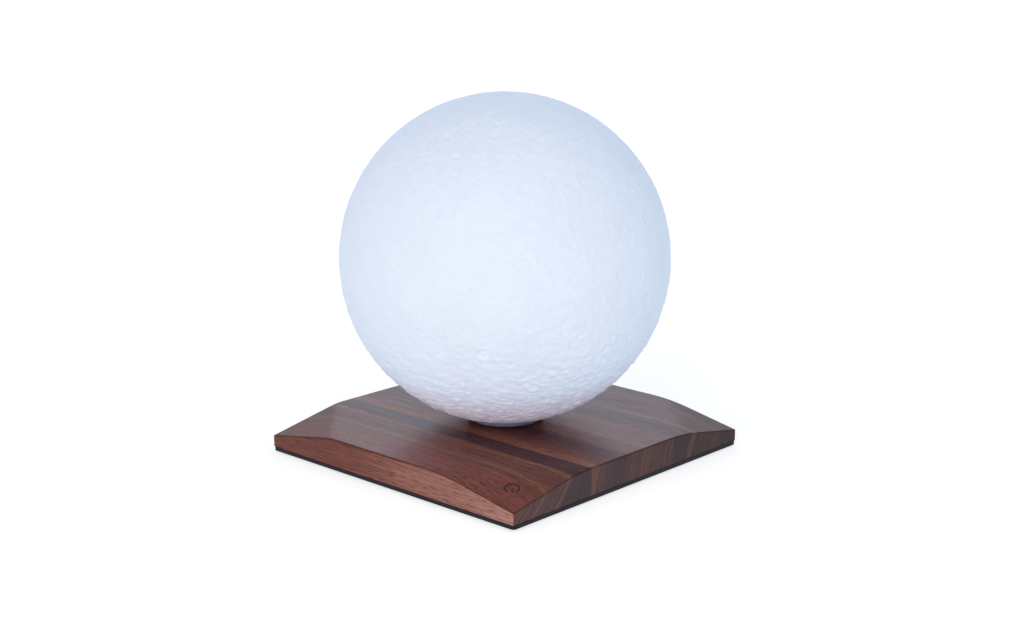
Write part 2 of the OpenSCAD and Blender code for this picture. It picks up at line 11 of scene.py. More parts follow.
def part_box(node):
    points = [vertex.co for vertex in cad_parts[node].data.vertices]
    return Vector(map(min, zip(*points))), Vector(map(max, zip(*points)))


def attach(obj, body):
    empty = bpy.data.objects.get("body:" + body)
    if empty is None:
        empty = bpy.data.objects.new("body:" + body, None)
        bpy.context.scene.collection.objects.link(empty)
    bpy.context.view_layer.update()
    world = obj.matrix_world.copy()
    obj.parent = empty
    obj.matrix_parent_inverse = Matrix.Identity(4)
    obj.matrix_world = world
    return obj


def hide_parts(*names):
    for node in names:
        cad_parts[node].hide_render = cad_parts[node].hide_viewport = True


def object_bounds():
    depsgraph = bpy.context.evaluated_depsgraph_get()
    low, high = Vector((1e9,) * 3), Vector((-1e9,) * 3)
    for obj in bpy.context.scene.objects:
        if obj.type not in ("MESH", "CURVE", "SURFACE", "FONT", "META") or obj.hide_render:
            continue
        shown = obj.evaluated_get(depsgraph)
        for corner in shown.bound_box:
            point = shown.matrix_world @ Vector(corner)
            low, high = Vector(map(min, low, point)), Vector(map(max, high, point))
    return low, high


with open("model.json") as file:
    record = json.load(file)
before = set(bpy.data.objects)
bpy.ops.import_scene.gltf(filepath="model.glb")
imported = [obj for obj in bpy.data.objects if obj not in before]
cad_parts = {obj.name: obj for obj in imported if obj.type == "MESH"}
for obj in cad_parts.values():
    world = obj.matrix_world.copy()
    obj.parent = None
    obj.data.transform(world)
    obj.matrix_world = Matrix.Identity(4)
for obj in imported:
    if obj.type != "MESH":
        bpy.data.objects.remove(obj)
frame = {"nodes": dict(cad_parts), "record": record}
cad_low, cad_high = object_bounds()

MM = 0.001
ROOT2 = math.sqrt(2)
WHITE = (1.0, 1.0, 1.0, 1.0)

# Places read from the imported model
wood_low, wood_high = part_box("walnut_block")
pad_low, pad_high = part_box("touch_pad")
jack_low, jack_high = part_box("jack_housing")
plate_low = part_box("bottom_plate")[0]
moon_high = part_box("moon_shell")[1]
insert_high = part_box("plate_inserts")[1]
half_w = wood_high.x
wood_z = wood_low.z
top_z = wood_high.z

# The moon
MOON_R = 88.9 * MM
SHELL_T = 1.6 * MM
OPENING_R = 25 * MM
MOON_SEGMENTS = 640
MOON_ROWS = 300
INNER_ROWS = 20
moon_middle = Vector((0, 0, moon_high.z - MOON_R))

# The walnut base, whose left corner has a crisper bend than the others
CORNER_LEG = 47 * MM
CORNER_DROP = 8.6 * MM
BLEND_R = 75 * MM
CRISP_BLEND_R = 28 * MM
ARRIS_R = 0.8 * MM
FOOT_CHAMFER = 0.3 * MM
GRID_STEP = 1 * MM
CORNER_FAN = 4
SHARP_ANGLE = math.radians(32)
ridge = (2 * half_w - CORNER_LEG) / ROOT2
slope = math.atan(CORNER_DROP / (CORNER_LEG / ROOT2))

# The camera, as fitted to the photograph
CAMERA_AZIMUTH = 43.36
CAMERA_ELEVATION = 18.27
CAMERA_ROLL = -0.14
CAMERA_DISTANCE = 0.933
CAMERA_LENS = 59.3
SENSOR_W = 36
CLIP_END = 20
AIM_RIGHT = 3.8 * MM
AIM_UP = 75.7 * MM

# Light levels
FRONT_AZIMUTH = 43
AMBIENT_FRONT = 0.5
AMBIENT_BACK = 0.29
AMBIENT_ABOVE = 0.7
AMBIENT_COLOUR = (0.86, 0.92, 1.0, 1.0)
FLOOR_REACH = 6.0
FLOOR_GLOW_NEAR = 0.68
FLOOR_GLOW_FAR = 0.88
FLOOR_NEAR_R = 0.15
FLOOR_FAR_R = 0.6
# Lamps: azimuth, elevation, distance, size, power and colour
LAMPS = {
    "key": (26, 12, 1.7, 0.7, 8.2, (1.0, 0.93, 0.86)),
    "side": (104, 16, 1.8, 0.8, 1.9, (0.8, 0.9, 1.0)),
    "back": (223, 16, 1.7, 0.9, 2.0, (0.78, 0.84, 1.0)),
}

# Between these values lies most of a noise
NOISE_SPAN = (0.3, 0.7)


def tone(red, green, blue):
    """A colour given as 0 to 255 on a screen, for a shader."""
    parts = [c / 255 for c in (red, green, blue)]
    return (*[((c + 0.055) / 1.055) ** 2.4 for c in parts], 1.0)


def direction(azimuth, elevation):
    """From the object towards a place round it; azimuth 0 is towards -Y and 90 towards +X."""
    a = math.radians(azimuth)
    e = math.radians(elevation)
    return Vector((math.sin(a) * math.cos(e), -math.cos(a) * math.cos(e), math.sin(e)))


class Graph:
    """Nodes of a material or of the world, with short calls for those that repeat."""

    def __init__(self, owner, shader):
        owner.use_nodes = True
        self.owner = owner
        self.tree = owner.node_tree
        self.shader = self.tree.nodes[shader]
        self.place = self.add("TexCoord")

    def add(self, kind, **settings):
        """A new node with these settings."""
        node = self.tree.nodes.new("ShaderNode" + kind)
        for key, value in settings.items():
            setattr(node, key, value)
        return node

    def feed(self, socket, value):
        """Links a socket to another's output, or sets it to a plain value."""
        if isinstance(value, bpy.types.NodeSocket):
            self.tree.links.new(value, socket)
        else:
            socket.default_value = value

    def set(self, **values):
        """Sets the shader's sockets; a name's underscores stand for spaces."""
        for key, value in values.items():
            self.feed(self.shader.inputs[key.replace("_", " ")], value)

    def math(self, operation, *values):
        """One step of arithmetic."""
        node = self.add("Math", operation=operation)
        for socket, value in zip(node.inputs, values):
            self.feed(socket, value)
        return node.outputs[0]

    def axes(self, output="Object"):
        """X, Y and Z of a texture coordinate."""
        node = self.add("SeparateXYZ")
        self.feed(node.inputs[0], self.place.outputs[output])
        return node.outputs

    def off_axis(self):
        """Distance from the object's Z axis."""
        x, y = self.axes()[:2]
        return self.math("SQRT", self.math("ADD", self.math("MULTIPLY", x, x), self.math("MULTIPLY", y, y)))

    def noise(self, lengths, detail=2.0):
        """Noise with features of these lengths along X, Y and Z, in millimetres."""
        scaled = self.add("VectorMath", operation="DIVIDE")
        self.feed(scaled.inputs[0], self.place.outputs["Object"])
        scaled.inputs[1].default_value = [n * MM for n in lengths]
        node = self.add("TexNoise")
        self.feed(node.inputs["Vector"], scaled.outputs["Vector"])
        node.inputs["Scale"].default_value = 1.0
        node.inputs["Detail"].default_value = detail
        return node.outputs[0]

    def noise_along(self, value, length, detail=2.0):
        """Noise that changes along one value in metres, with features of this length in millimetres."""
        node = self.add("TexNoise", noise_dimensions="1D")
        self.feed(node.inputs["W"], self.math("DIVIDE", value, length * MM))
        node.inputs["Scale"].default_value = 1.0
        node.inputs["Detail"].default_value = detail
        return node.outputs[0]

    def between(self, value, low, high, to_low, to_high):
        """Value carried from one range to another, and held at its ends."""
        node = self.add("MapRange", clamp=True)
        for name, given in (("Value", value), ("From Min", low), ("From Max", high),
                            ("To Min", to_low), ("To Max", to_high)):
            self.feed(node.inputs[name], given)
        return node.outputs["Result"]

    def share(self, value, first, second):
        """From the first to the second as a value goes from 0 to 1."""
        return self.between(value, 0.0, 1.0, first, second)

    def spread(self, value, low, high):
        """A noise spread over a range."""
        return self.between(value, *NOISE_SPAN, low, high)

    def mix(self, factor, first, second, blend="MIX"):
        """Two colours, mixed or multiplied."""
        node = self.add("Mix", data_type="RGBA", blend_type=blend)
        self.feed(node.inputs[0], factor)
        self.feed(node.inputs[6], first)
        self.feed(node.inputs[7], second)
        return node.outputs[2]

    def ramp(self, value, stops):
        """A colour ramp with stops given as (place, colour)."""
        node = self.add("ValToRGB")
        elements = node.color_ramp.elements
        while len(elements) < len(stops):
            elements.new(1.0)
        for element, (place, colour) in zip(elements, stops):
            element.position = place
            element.color = colour
        self.feed(node.inputs[0], value)
        return node.outputs["Color"]

    def tones(self, value, low, high):
        """A noise spread over two screen colours."""
        return self.ramp(value, list(zip(NOISE_SPAN, (tone(*low), tone(*high)))))

    def bump(self, height, depth, strength=1.0):
        """A normal from a height, whose full swing is this deep in millimetres."""
        node = self.add("Bump")
        node.inputs["Strength"].default_value = strength
        node.inputs["Distance"].default_value = depth * MM
        self.feed(node.inputs["Height"], height)
        return node.outputs["Normal"]


def new_material(name):
    """A new material's graph."""
    return Graph(bpy.data.materials.new(name), "Principled BSDF")


# Finishes of the plain parts: colour, second colour, grain, roughness range, metallic, bump depth
PLAIN_FINISHES = {
    "white_plastic": ((226, 226, 224), (208, 209, 210), 5.0, (0.42, 0.55), 0.0, 0.02),
    "magnet_nickel": ((196, 194, 190), (172, 171, 170), 3.0, (0.16, 0.3), 1.0, 0.01),
    "ferrite": ((60, 60, 63), (38, 38, 41), 0.8, (0.55, 0.75), 0.0, 0.05),
    "steel": ((168, 168, 172), (140, 141, 146), 1.5, (0.28, 0.42), 1.0, 0.02),
    "board_white": ((232, 233, 232), (214, 216, 218), 4.0, (0.3, 0.42), 0.0, 0.01),
    "chip_black": ((34, 34, 37), (22, 22, 25), 0.6, (0.45, 0.6), 0.0, 0.02),
    "capacitor_can": ((40, 52, 104), (28, 38, 82), 3.0, (0.25, 0.4), 0.2, 0.01),
    "foot_rubber": ((40, 40, 42), (26, 26, 28), 0.7, (0.7, 0.85), 0.0, 0.05),
    "insert_brass": ((202, 164, 92), (170, 134, 70), 0.8, (0.22, 0.36), 1.0, 0.02),
    "jack_black": ((26, 26, 28), (16, 16, 18), 0.8, (0.3, 0.42), 0.0, 0.02),
    "wire_red": ((176, 34, 30), (140, 22, 22), 1.2, (0.3, 0.42), 0.0, 0.01),
}


def plain_material(slot):
    """A moulded or metal finish whose colour, roughness and surface vary a little."""
    first, second, grain, rough, metallic, depth = PLAIN_FINISHES[slot]
    g = new_material(slot)
    cloud = g.noise((grain,) * 3, detail=4.0)
    g.set(Base_Color=g.tones(cloud, second, first))
    g.set(Roughness=g.spread(cloud, *rough), Metallic=metallic)
    g.set(Normal=g.bump(g.noise((grain / 2,) * 3, detail=3.0), depth))
    return g.owner


# Pitch of the windings; cells between a board's tracks, and where a track's edge fades, in cells
WIRE_PITCH = 0.5 * MM
TRACK_CELL = 5 * MM
TRACK_EDGES = (0.05, 0.09)


def copper_material():
    """Enamelled wire: turns show as fine ridges round Z."""
    g = new_material("copper")
    z = g.axes()[2]
    turns = g.math("SINE", g.math("MULTIPLY", g.math("ADD", g.off_axis(), z), 2 * math.pi / WIRE_PITCH))
    ridges = g.between(turns, -1.0, 1.0, 0.0, 1.0)
    g.set(Base_Color=g.ramp(ridges, ((0.0, tone(120, 62, 32)), (0.6, tone(196, 116, 66)))))
    g.set(Roughness=g.spread(g.noise((2, 2, 2)), 0.25, 0.4), Metallic=0.9)
    g.set(Normal=g.bump(ridges, 0.15))
    return g.owner


def circuit_material():
    """Green solder mask over copper tracks."""
    g = new_material("board_green")
    cells = g.add("TexVoronoi", feature="DISTANCE_TO_EDGE", distance="MANHATTAN")
    g.feed(cells.inputs["Vector"], g.place.outputs["Object"])
    cells.inputs["Scale"].default_value = 1 / TRACK_CELL
    track = g.between(cells.outputs[0], *TRACK_EDGES, 1.0, 0.0)
    mask = g.tones(g.noise((9, 9, 9)), (16, 78, 48), (22, 96, 60))
    g.set(Base_Color=g.mix(track, mask, tone(40, 128, 78)))
    g.set(Roughness=g.share(track, 0.34, 0.24))
    g.set(Normal=g.bump(track, 0.04))
    return g.owner


def led_material():
    """Yellow phosphor under a clear lens, lit."""
    g = new_material("led")
    glow = g.tones(g.noise((1.5, 1.5, 1.5)), (250, 232, 160), (255, 248, 214))
    g.set(Base_Color=glow, Emission_Color=glow, Emission_Strength=1.0)
    g.set(Roughness=g.spread(g.noise((2, 2, 2)), 0.1, 0.2))
    return g.owner


def cap_material():
    """Smooth bluish plastic of the cap under the moon."""
    g = new_material("cap_plastic")
    cloud = g.noise((7, 7, 7), detail=3.0)
    g.set(Base_Color=g.tones(cloud, (134, 147, 182), (148, 161, 196)))
    g.set(Roughness=g.spread(cloud, 0.22, 0.32))
    g.set(Normal=g.bump(g.noise((0.8, 0.8, 0.8)), 0.01))
    return g.owner


def plate_material():
    """Bluish black moulded plastic with a fine spark texture."""
    g = new_material("plate_black")
    cloud = g.noise((14, 14, 3), detail=4.0)
    spark = g.noise((0.7, 0.7, 0.7))
    g.set(Base_Color=g.tones(cloud, (10, 15, 24), (16, 23, 33)))
    g.set(Roughness=g.spread(spark, 0.45, 0.6), Specular_IOR_Level=0.25)
    g.set(Normal=g.bump(spark, 0.03))
    return g.owner


# The moon's relief: size of the lumps and their height, in millimetres
RELIEF = ((14, 0.2), (5.5, 0.22), (3.0, 0.36), (2.0, 0.3))
# The upper half is smoother: its share of the relief, and the angles off +Z between which that ends
UPPER_RELIEF = 0.6
UPPER_ANGLES = (math.radians(70), math.radians(115))
# The print's layers show where it overhangs: length along and across them, height, and angles off +Z
LAYER_SIZE = (5.5, 1.5)
LAYER_HEIGHT = 0.75
OVERHANG_ANGLES = (math.radians(100), math.radians(145))
# How far the ball under the lumps is sunk, so that their tops reach the moon's size
LUMP_RISE = 0.3 * MM
# Craters that the photograph shows: longitude, latitude, radius, depth and middle peak
SEEN_CRATERS = (
    (-54.3, -21.0, 3.5, 1.25, 1.2),
    (-38.1, -34.1, 2.4, 0.5, 0.0),
    (-35.4, 26.4, 5.5, 0.3, 0.1),
    (-8.5, -22.3, 2.6, 0.5, 0.0),
)
# The lumps fade in those: their share is the distance in crater radii less this, and at least the second
CALM_OFFSET = 0.6
CALM_LEAST = 0.3
# Craters that the solid moon has: number, smallest and largest radius, depth here, last angle off +Z
MAIN_CRATERS = 40
MAIN_CRATER_R = (3.5, 9.0)
MAIN_CRATER_DEPTH = 0.28
MAIN_CRATER_LIMIT = math.radians(150)
# Small craters spread by chance: number, radius, depth as a share of it, lowest height in moon radii, seed
SMALL_CRATERS = 120
SMALL_CRATER_R = (1.3, 3.2)
SMALL_CRATER_DEPTH = (0.06, 0.14)
SMALL_CRATER_LOWEST = -0.95
SMALL_CRATER_SEED = 7
# A crater's rim: height as a share of its depth, width and reach in its radii
CRATER_RIM = 0.35
RIM_WIDTH = 0.3
CRATER_REACH = 2.0
# The relief fades out over this angle above the opening
EVEN_RING = math.radians(10)


def ball_point(inclination, longitude):
    """Unit vector at an angle from +Z and a turn about Z."""
    s = math.sin(inclination)
    return Vector((s * math.cos(longitude), s * math.sin(longitude), math.cos(inclination)))


def seen_spot(longitude, latitude):
    """Unit vector towards a crater that the photograph shows."""
    return ball_point(math.radians(90 - latitude), math.radians(longitude))


def crater_list():
    """Every crater as (direction, radius, depth, peak), in metres."""
    found = []
    for longitude, latitude, *sizes in SEEN_CRATERS:
        found.append((seen_spot(longitude, latitude), *[size * MM for size in sizes]))
    golden = (math.sqrt(5) - 1) / 2
    for i in range(MAIN_CRATERS):
        inclination = math.acos(1 - 2 * (i + 0.5) / MAIN_CRATERS)
        scatter = (i * ROOT2) % 1.0
        radius = MAIN_CRATER_R[0] + (MAIN_CRATER_R[1] - MAIN_CRATER_R[0]) * scatter ** 2
        if inclination < MAIN_CRATER_LIMIT:
            at = ball_point(inclination, i * 2 * math.pi * golden)
            found.append((at, radius * MM, MAIN_CRATER_DEPTH * MM, 0.0))
    rng = random.Random(SMALL_CRATER_SEED)
    for _ in range(SMALL_CRATERS):
        at = ball_point(math.acos(rng.uniform(SMALL_CRATER_LOWEST, 1.0)), rng.uniform(0, 2 * math.pi))
        radius = SMALL_CRATER_R[0] + (SMALL_CRATER_R[1] - SMALL_CRATER_R[0]) * rng.random() ** 3
        found.append((at, radius * MM, radius * rng.uniform(*SMALL_CRATER_DEPTH) * MM, 0.0))
    return found


def radii_away(directions, at, radius):
    """Distance of points of the moon from a crater's middle, in that crater's radii."""
    return np.arccos(np.clip(directions @ np.array(at), -1, 1)) * MOON_R / radius


def crater_heights(directions):
    """How far all craters together lift or sink each point of the moon."""
    heights = np.zeros(len(directions))
    for at, radius, depth, peak in crater_list():
        away = radii_away(directions, at, radius)
        near = away < CRATER_REACH
        x = away[near]
        bowl = np.minimum(x ** 2 - 1, 0) * depth
        rim = CRATER_RIM * depth * np.exp(-(((x - 1) / RIM_WIDTH) ** 2))
        heights[near] += bowl + rim + peak * np.exp(-((x / RIM_WIDTH) ** 2))
    return heights


def calm_by_craters(directions):
    """1 away from the craters that the photograph shows, and less inside them."""
    calm = np.ones(len(directions))
    for longitude, latitude, radius, *_ in SEEN_CRATERS:
        away = radii_away(directions, seen_spot(longitude, latitude), radius * MM)
        calm = np.minimum(calm, np.clip(away - CALM_OFFSET, CALM_LEAST, 1.0))
    return calm


def lump_heights(directions):
    """Fine printed lumps, from noise at several sizes, and printed layers low down."""
    heights = np.zeros(len(directions))
    off_top = np.arccos(np.clip(directions[:, 2], -1, 1))
    overhang = np.interp(off_top, OVERHANG_ANGLES, (0.0, LAYER_HEIGHT))
    rough = np.interp(off_top, UPPER_ANGLES, (UPPER_RELIEF, 1.0))
    along, across = LAYER_SIZE
    for i, at in enumerate(directions):
        p = Vector(at) * (MOON_R / MM)
        lumps = sum(height * noise.noise(p / size) for size, height in RELIEF)
        layers = noise.noise((p.x / along, p.y / along, p.z / across))
        heights[i] = rough[i] * lumps + overhang[i] * layers
    return heights * calm_by_craters(directions) * MM


def moon_points():
    """Rings of points from the top down the outside, and up the inside, then the two poles."""
    rim_angle = math.pi - math.asin(OPENING_R / MOON_R)
    inner_r = MOON_R - SHELL_T
    inner_rim = math.pi - math.asin(OPENING_R / inner_r)
    turns = [2 * math.pi * s / MOON_SEGMENTS for s in range(MOON_SEGMENTS)]
    rows = [rim_angle * (i + 1) / MOON_ROWS for i in range(MOON_ROWS)]
    outer = np.array([ball_point(a, t) for a in rows for t in turns])
    lift = lump_heights(outer) + crater_heights(outer)
    fade = np.repeat([min(1.0, (rim_angle - a) / EVEN_RING) for a in rows], MOON_SEGMENTS)
    points = list(outer * (MOON_R - LUMP_RISE + lift * fade)[:, None])
    inner_rows = [inner_rim * (1 - i / INNER_ROWS) for i in range(INNER_ROWS)]
    points += [ball_point(a, t) * inner_r for a in inner_rows for t in turns]
    points += [Vector((0, 0, MOON_R)), Vector((0, 0, inner_r))]
    return [Vector(p) + moon_middle for p in points]


def build_moon():
    """The printed shell: a cratered outside, a plain inside and a rim round the opening."""
    ring_count = MOON_ROWS + INNER_ROWS
    north = ring_count * MOON_SEGMENTS
    last = north - MOON_SEGMENTS
    faces = []
    for s in range(MOON_SEGMENTS):
        n = (s + 1) % MOON_SEGMENTS
        faces.append((north, s, n))
        for i in range(ring_count - 1):
            low, high = i * MOON_SEGMENTS, (i + 1) * MOON_SEGMENTS
            faces.append((low + s, high + s, high + n, low + n))
        faces.append((last + s, north + 1, last + n))
    mesh = bpy.data.meshes.new("moon")
    mesh.from_pydata(moon_points(), [], faces)
    mesh.shade_smooth()
    moon = bpy.data.objects.new("moon", mesh)
    bpy.context.scene.collection.objects.link(moon)
    return moon


# The moon's light: its colour, its colour low down (painted warm bounce light from the wood), its strength
# and its speckle
GLOW = (0.49, 0.675, 0.985, 1.0)
WOOD_BOUNCE_GLOW = (0.82, 0.66, 1.0, 1.0)
GLOW_STRENGTH = 0.47
GLOW_SPECKLE = (0.93, 1.07)
# Where the light changes, fading out downwards as painted shade of the underside, and where the fine layers
# change, in radii below the moon's middle
GLOW_ENDS = (1.06, 0.62)
LAYER_ENDS = (0.9, 0.4)


def below_middle(ends):
    """Heights that lie this many radii below the moon's middle."""
    return [moon_middle.z - end * MOON_R for end in ends]


def moon_material():
    """White printed plastic, lit cool white from inside; low down its glow is dimmed as painted shade and
    warmed as painted bounce light from the wood.
    """
    g = new_material("moon_print")
    z = g.axes()[2]
    g.set(Base_Color=g.tones(g.noise((22, 22, 22), detail=4.0), (235, 231, 226), (240, 236, 231)))
    # Painted shade: the glow fades out towards the bottom, where it also turns warm as painted bounce light
    # from the wood.
    lit = g.between(z, *below_middle(GLOW_ENDS), 0.0, 1.0)
    speckle = g.spread(g.noise((2.6, 2.6, 2.2), detail=3.0), *GLOW_SPECKLE)
    strength = g.math("MULTIPLY", g.math("MULTIPLY", lit, GLOW_STRENGTH), speckle)
    g.set(Emission_Color=g.mix(lit, WOOD_BOUNCE_GLOW, GLOW), Emission_Strength=strength)
    fine = g.noise((1.3, 1.3, 1.0), detail=3.0)
    g.set(Roughness=g.spread(fine, 0.55, 0.75), Specular_IOR_Level=0.3)
    low = g.between(z, *below_middle(LAYER_ENDS), 1.0, 0.0)
    layers = g.math("MULTIPLY", g.noise((4.5, 4.5, 0.6)), low)
    g.set(Normal=g.bump(g.math("ADD", fine, layers), 0.25, 0.9))
    return g.owner


# The wood's rim from the top down: angle round the arris, share of the wall, share of the foot's chamfer
RIM_LEVELS = (
    *[("arc", math.radians(angle)) for angle in (67.5, 45, 22.5, 0)],
    *[("wall", share) for share in (0.33, 0.67)],
    *[("foot", share) for share in (0.0, 1.0)],
)


def wood_top(x, y):
    """Height of the wood at (x, y): a flat top and four corner slopes, blended by arcs."""
    blend_r = CRISP_BLEND_R if x < 0 and y < 0 else BLEND_R
    blend_len = blend_r * math.tan(slope / 2)
    past = (abs(x) + abs(y)) / ROOT2 - ridge
    if past < -blend_len:
        return top_z
    if past > blend_len * math.cos(slope):
        return top_z - past * math.tan(slope)
    return top_z - blend_r + math.sqrt(blend_r ** 2 - (past + blend_len) ** 2)


def edge_loop(count):
    """Round the grid's edge: (column, row, outward direction), with a fan at each corner."""
    last = count - 1
    sides = (
        [(i, 0) for i in range(count)],
        [(last, i) for i in range(count)],
        [(last - i, last) for i in range(count)],
        [(0, last - i) for i in range(count)],
    )
    loop = []
    for k, side in enumerate(sides):
        turn = math.radians(90 * k - 90)
        loop += [(i, j, turn) for i, j in side]
        i, j = side[-1]
        loop += [(i, j, turn + math.radians(90 * step / CORNER_FAN)) for step in range(1, CORNER_FAN)]
    return loop


def rim_place(kind, value, high):
    """How far outside the grid a level of the rim lies, and its height; high is the arris's lower end."""
    if kind == "arc":
        return ARRIS_R * math.cos(value), high + ARRIS_R * math.sin(value)
    if kind == "wall":
        return ARRIS_R, high + (wood_z + FOOT_CHAMFER - high) * value
    return ARRIS_R - FOOT_CHAMFER * value, wood_z + FOOT_CHAMFER * (1 - value)


def build_block():
    """The wood as a closed block: a grid on top, rounded arrises, upright sides and a flat foot."""
    reach = half_w - ARRIS_R
    count = round(2 * reach / GRID_STEP) + 1
    line = [-reach + 2 * reach * i / (count - 1) for i in range(count)]
    points = [(x, y, wood_top(x, y)) for y in line for x in line]
    # The arris attribute marks where the walnut's painted shade along the rounded arris lies.
    arris = [0.0] * len(points)
    faces = [
        (j * count + i, j * count + i + 1, (j + 1) * count + i + 1, (j + 1) * count + i)
        for j in range(count - 1) for i in range(count - 1)
    ]
    loop = edge_loop(count)
    above = [j * count + i for i, j, _ in loop]
    for kind, value in RIM_LEVELS:
        ring = []
        for i, j, turn in loop:
            x, y = line[i], line[j]
            out, z = rim_place(kind, value, wood_top(x, y) - ARRIS_R)
            ring.append(len(points))
            points.append((x + out * math.cos(turn), y + out * math.sin(turn), z))
            arris.append(1.0 if kind == "arc" and value > 0 else 0.0)
        for e in range(len(loop)):
            n = (e + 1) % len(loop)
            corners = (above[e], ring[e], ring[n], above[n])
            faces.append(corners if above[e] != above[n] else corners[:3])
        above = ring
    faces.append(tuple(reversed(above)))
    mesh = bpy.data.meshes.new("walnut_base")
    mesh.from_pydata(points, [], faces)
    mesh.attributes.new("arris", "FLOAT", "POINT").data.foreach_set("value", arris)
    block = bpy.data.objects.new("walnut_base", mesh)
    bpy.context.scene.collection.objects.link(block)
    return block


def cutter(name, material, build):
    """A closed mesh that is cut from the wood; build(bm) makes its shape."""
    bm = bmesh.new()
    build(bm)
    bmesh.ops.recalc_face_normals(bm, faces=bm.faces)
    mesh = bpy.data.meshes.new(name)
    bm.to_mesh(mesh)
    bm.free()
    mesh.materials.append(material)
    made = bpy.data.objects.new(name, mesh)
    bpy.context.scene.collection.objects.link(made)
    return made


def add_drum(bm, radius, low, high, sides, at=(0, 0)):
    """An upright round column."""
    place = Matrix.Translation((at[0], at[1], (low + high) / 2))
    bmesh.ops.create_cone(bm, cap_ends=True, segments=sides, radius1=radius, radius2=radius,
                          depth=high - low, matrix=place)


def add_bar(bm, low, high, turn=0.0):
    """A box between two corners, turned about Z."""
    scale = Matrix.Diagonal((*(high - low), 1))
    place = Matrix.Rotation(turn, 4, "Z") @ Matrix.Translation((low + high) / 2) @ scale
    bmesh.ops.create_cube(bm, size=1.0, matrix=place)


def add_tube(bm, points, radius, sides=12):
    """A round bar along points, closed at both ends."""
    rings = []
    for i, p in enumerate(points):
        along = (points[min(i + 1, len(points) - 1)] - points[max(i - 1, 0)]).normalized()
        across = along.cross(touch_normal).normalized()
        rings.append([
            bm.verts.new(p + radius * (math.cos(a) * across + math.sin(a) * touch_normal))
            for a in (2 * math.pi * s / sides for s in range(sides))
        ])
    for first, second in zip(rings, rings[1:]):
        for s in range(sides):
            n = (s + 1) % sides
            bm.faces.new((first[s], first[n], second[n], second[s]))
    bm.faces.new(rings[0])
    bm.faces.new(rings[-1])


# Rooms cut into the wood from below; ROOM is the play round a part, and cutters run PAST the wood
BAY_R = 68 * MM
BAY_ROOF = 2 * MM
ROOM = 0.5 * MM
JACK_WALL = 2.4 * MM
NOSE_R = 3.85 * MM
TONGUE_IN = 8 * MM
TONGUE_W = 13 * MM
INSERT_R = 2.45 * MM
GROOVE_W = 4 * MM
GROOVE_Z = 7.9 * MM
GROOVE_LAP = 2 * MM
GROOVE_TURN = math.radians(-45)
PAST = 1 * MM

# The engraved mark of the touch spot
MARK_R = 3.6 * MM
MARK_LINE_R = 0.4 * MM
MARK_GAP = math.radians(38)
MARK_STEPS = 40
MARK_BAR = (0.5 * MM, 4.4 * MM)
touch_xy = ((pad_low.x + pad_high.x) / 2, (pad_low.y + pad_high.y) / 2)
touch_spot = Vector((*touch_xy, wood_top(*touch_xy)))
touch_out = Vector((1, -1, 0)).normalized()
touch_normal = (touch_out * math.sin(slope) + Vector((0, 0, math.cos(slope)))).normalized()
touch_side = touch_normal.cross(touch_out).normalized()
touch_up = touch_side.cross(touch_normal).normalized()


def bay(bm):
    """The round bay of the electronics."""
    add_drum(bm, BAY_R, wood_z - PAST, top_z - BAY_ROOF, sides=128)


def jack_room(bm):
    """The room of the power inlet and of the board's tongue under it."""
    add_bar(bm, Vector((-TONGUE_W / 2, BAY_R - TONGUE_IN, wood_z - PAST)),
            Vector((TONGUE_W / 2, half_w - JACK_WALL, jack_high.z + ROOM)))


def jack_nose(bm):
    """The hole in the back for the inlet's nose."""
    middle = (jack_low.z + jack_high.z) / 2
    place = Matrix.Translation((0, half_w, middle)) @ Matrix.Rotation(math.pi / 2, 4, "X")
    bmesh.ops.create_cone(bm, cap_ends=True, segments=64, radius1=NOSE_R, radius2=NOSE_R,
                          depth=2 * (JACK_WALL + PAST), matrix=place)


def touch_pocket(bm):
    """The pocket of the touch pad under the front corner."""
    radius = (pad_high.x - pad_low.x) / 2 + ROOM
    add_drum(bm, radius, wood_z - PAST, pad_high.z, sides=64, at=touch_xy)


def touch_groove(bm):
    """The groove of the touch wire, from the bay to the pocket."""
    far = Vector(touch_xy).length
    add_bar(bm, Vector((BAY_R - GROOVE_LAP, -GROOVE_W / 2, wood_z - PAST)),
            Vector((far - GROOVE_LAP, GROOVE_W / 2, GROOVE_Z)), GROOVE_TURN)


def insert_holes(bm):
    """Four blind holes for the threaded inserts."""
    x = insert_high.x - INSERT_R
    y = insert_high.y - INSERT_R
    for sx in (-1, 1):
        for sy in (-1, 1):
            add_drum(bm, INSERT_R, wood_z - PAST, insert_high.z, sides=32, at=(sx * x, sy * y))


def mark_ring(bm):
    """The open ring of the touch spot's mark."""
    points = []
    for i in range(MARK_STEPS + 1):
        a = MARK_GAP + (2 * math.pi - 2 * MARK_GAP) * i / MARK_STEPS
        points.append(touch_spot + MARK_R * (math.cos(a) * touch_up + math.sin(a) * touch_side))
    add_tube(bm, points, MARK_LINE_R)


def mark_bar(bm):
    """The short stroke in the ring's gap."""
    add_tube(bm, [touch_spot + touch_up * d for d in MARK_BAR], MARK_LINE_R)


def cut_block(block, raw, burnt):
    """Cuts the rooms and the mark out of the wood, and leaves one plain mesh."""
    shapes = (bay, jack_room, jack_nose, touch_pocket, touch_groove, insert_holes)
    cutters = [cutter(shape.__name__, raw, shape) for shape in shapes]
    cutters += [cutter(shape.__name__, burnt, shape) for shape in (mark_ring, mark_bar)]
    for tool in cutters:
        cut = block.modifiers.new(tool.name, "BOOLEAN")
        cut.operation = "DIFFERENCE"
        cut.solver = "EXACT"
        cut.material_mode = "TRANSFER"
        cut.object = tool
    ready = block.evaluated_get(bpy.context.evaluated_depsgraph_get())
    mesh = bpy.data.meshes.new_from_object(ready)
    block.modifiers.clear()
    block.data = mesh
    for tool in cutters:
        bpy.data.objects.remove(tool)
    mesh.shade_smooth()
    mesh.set_sharp_from_angle(angle=SHARP_ANGLE)


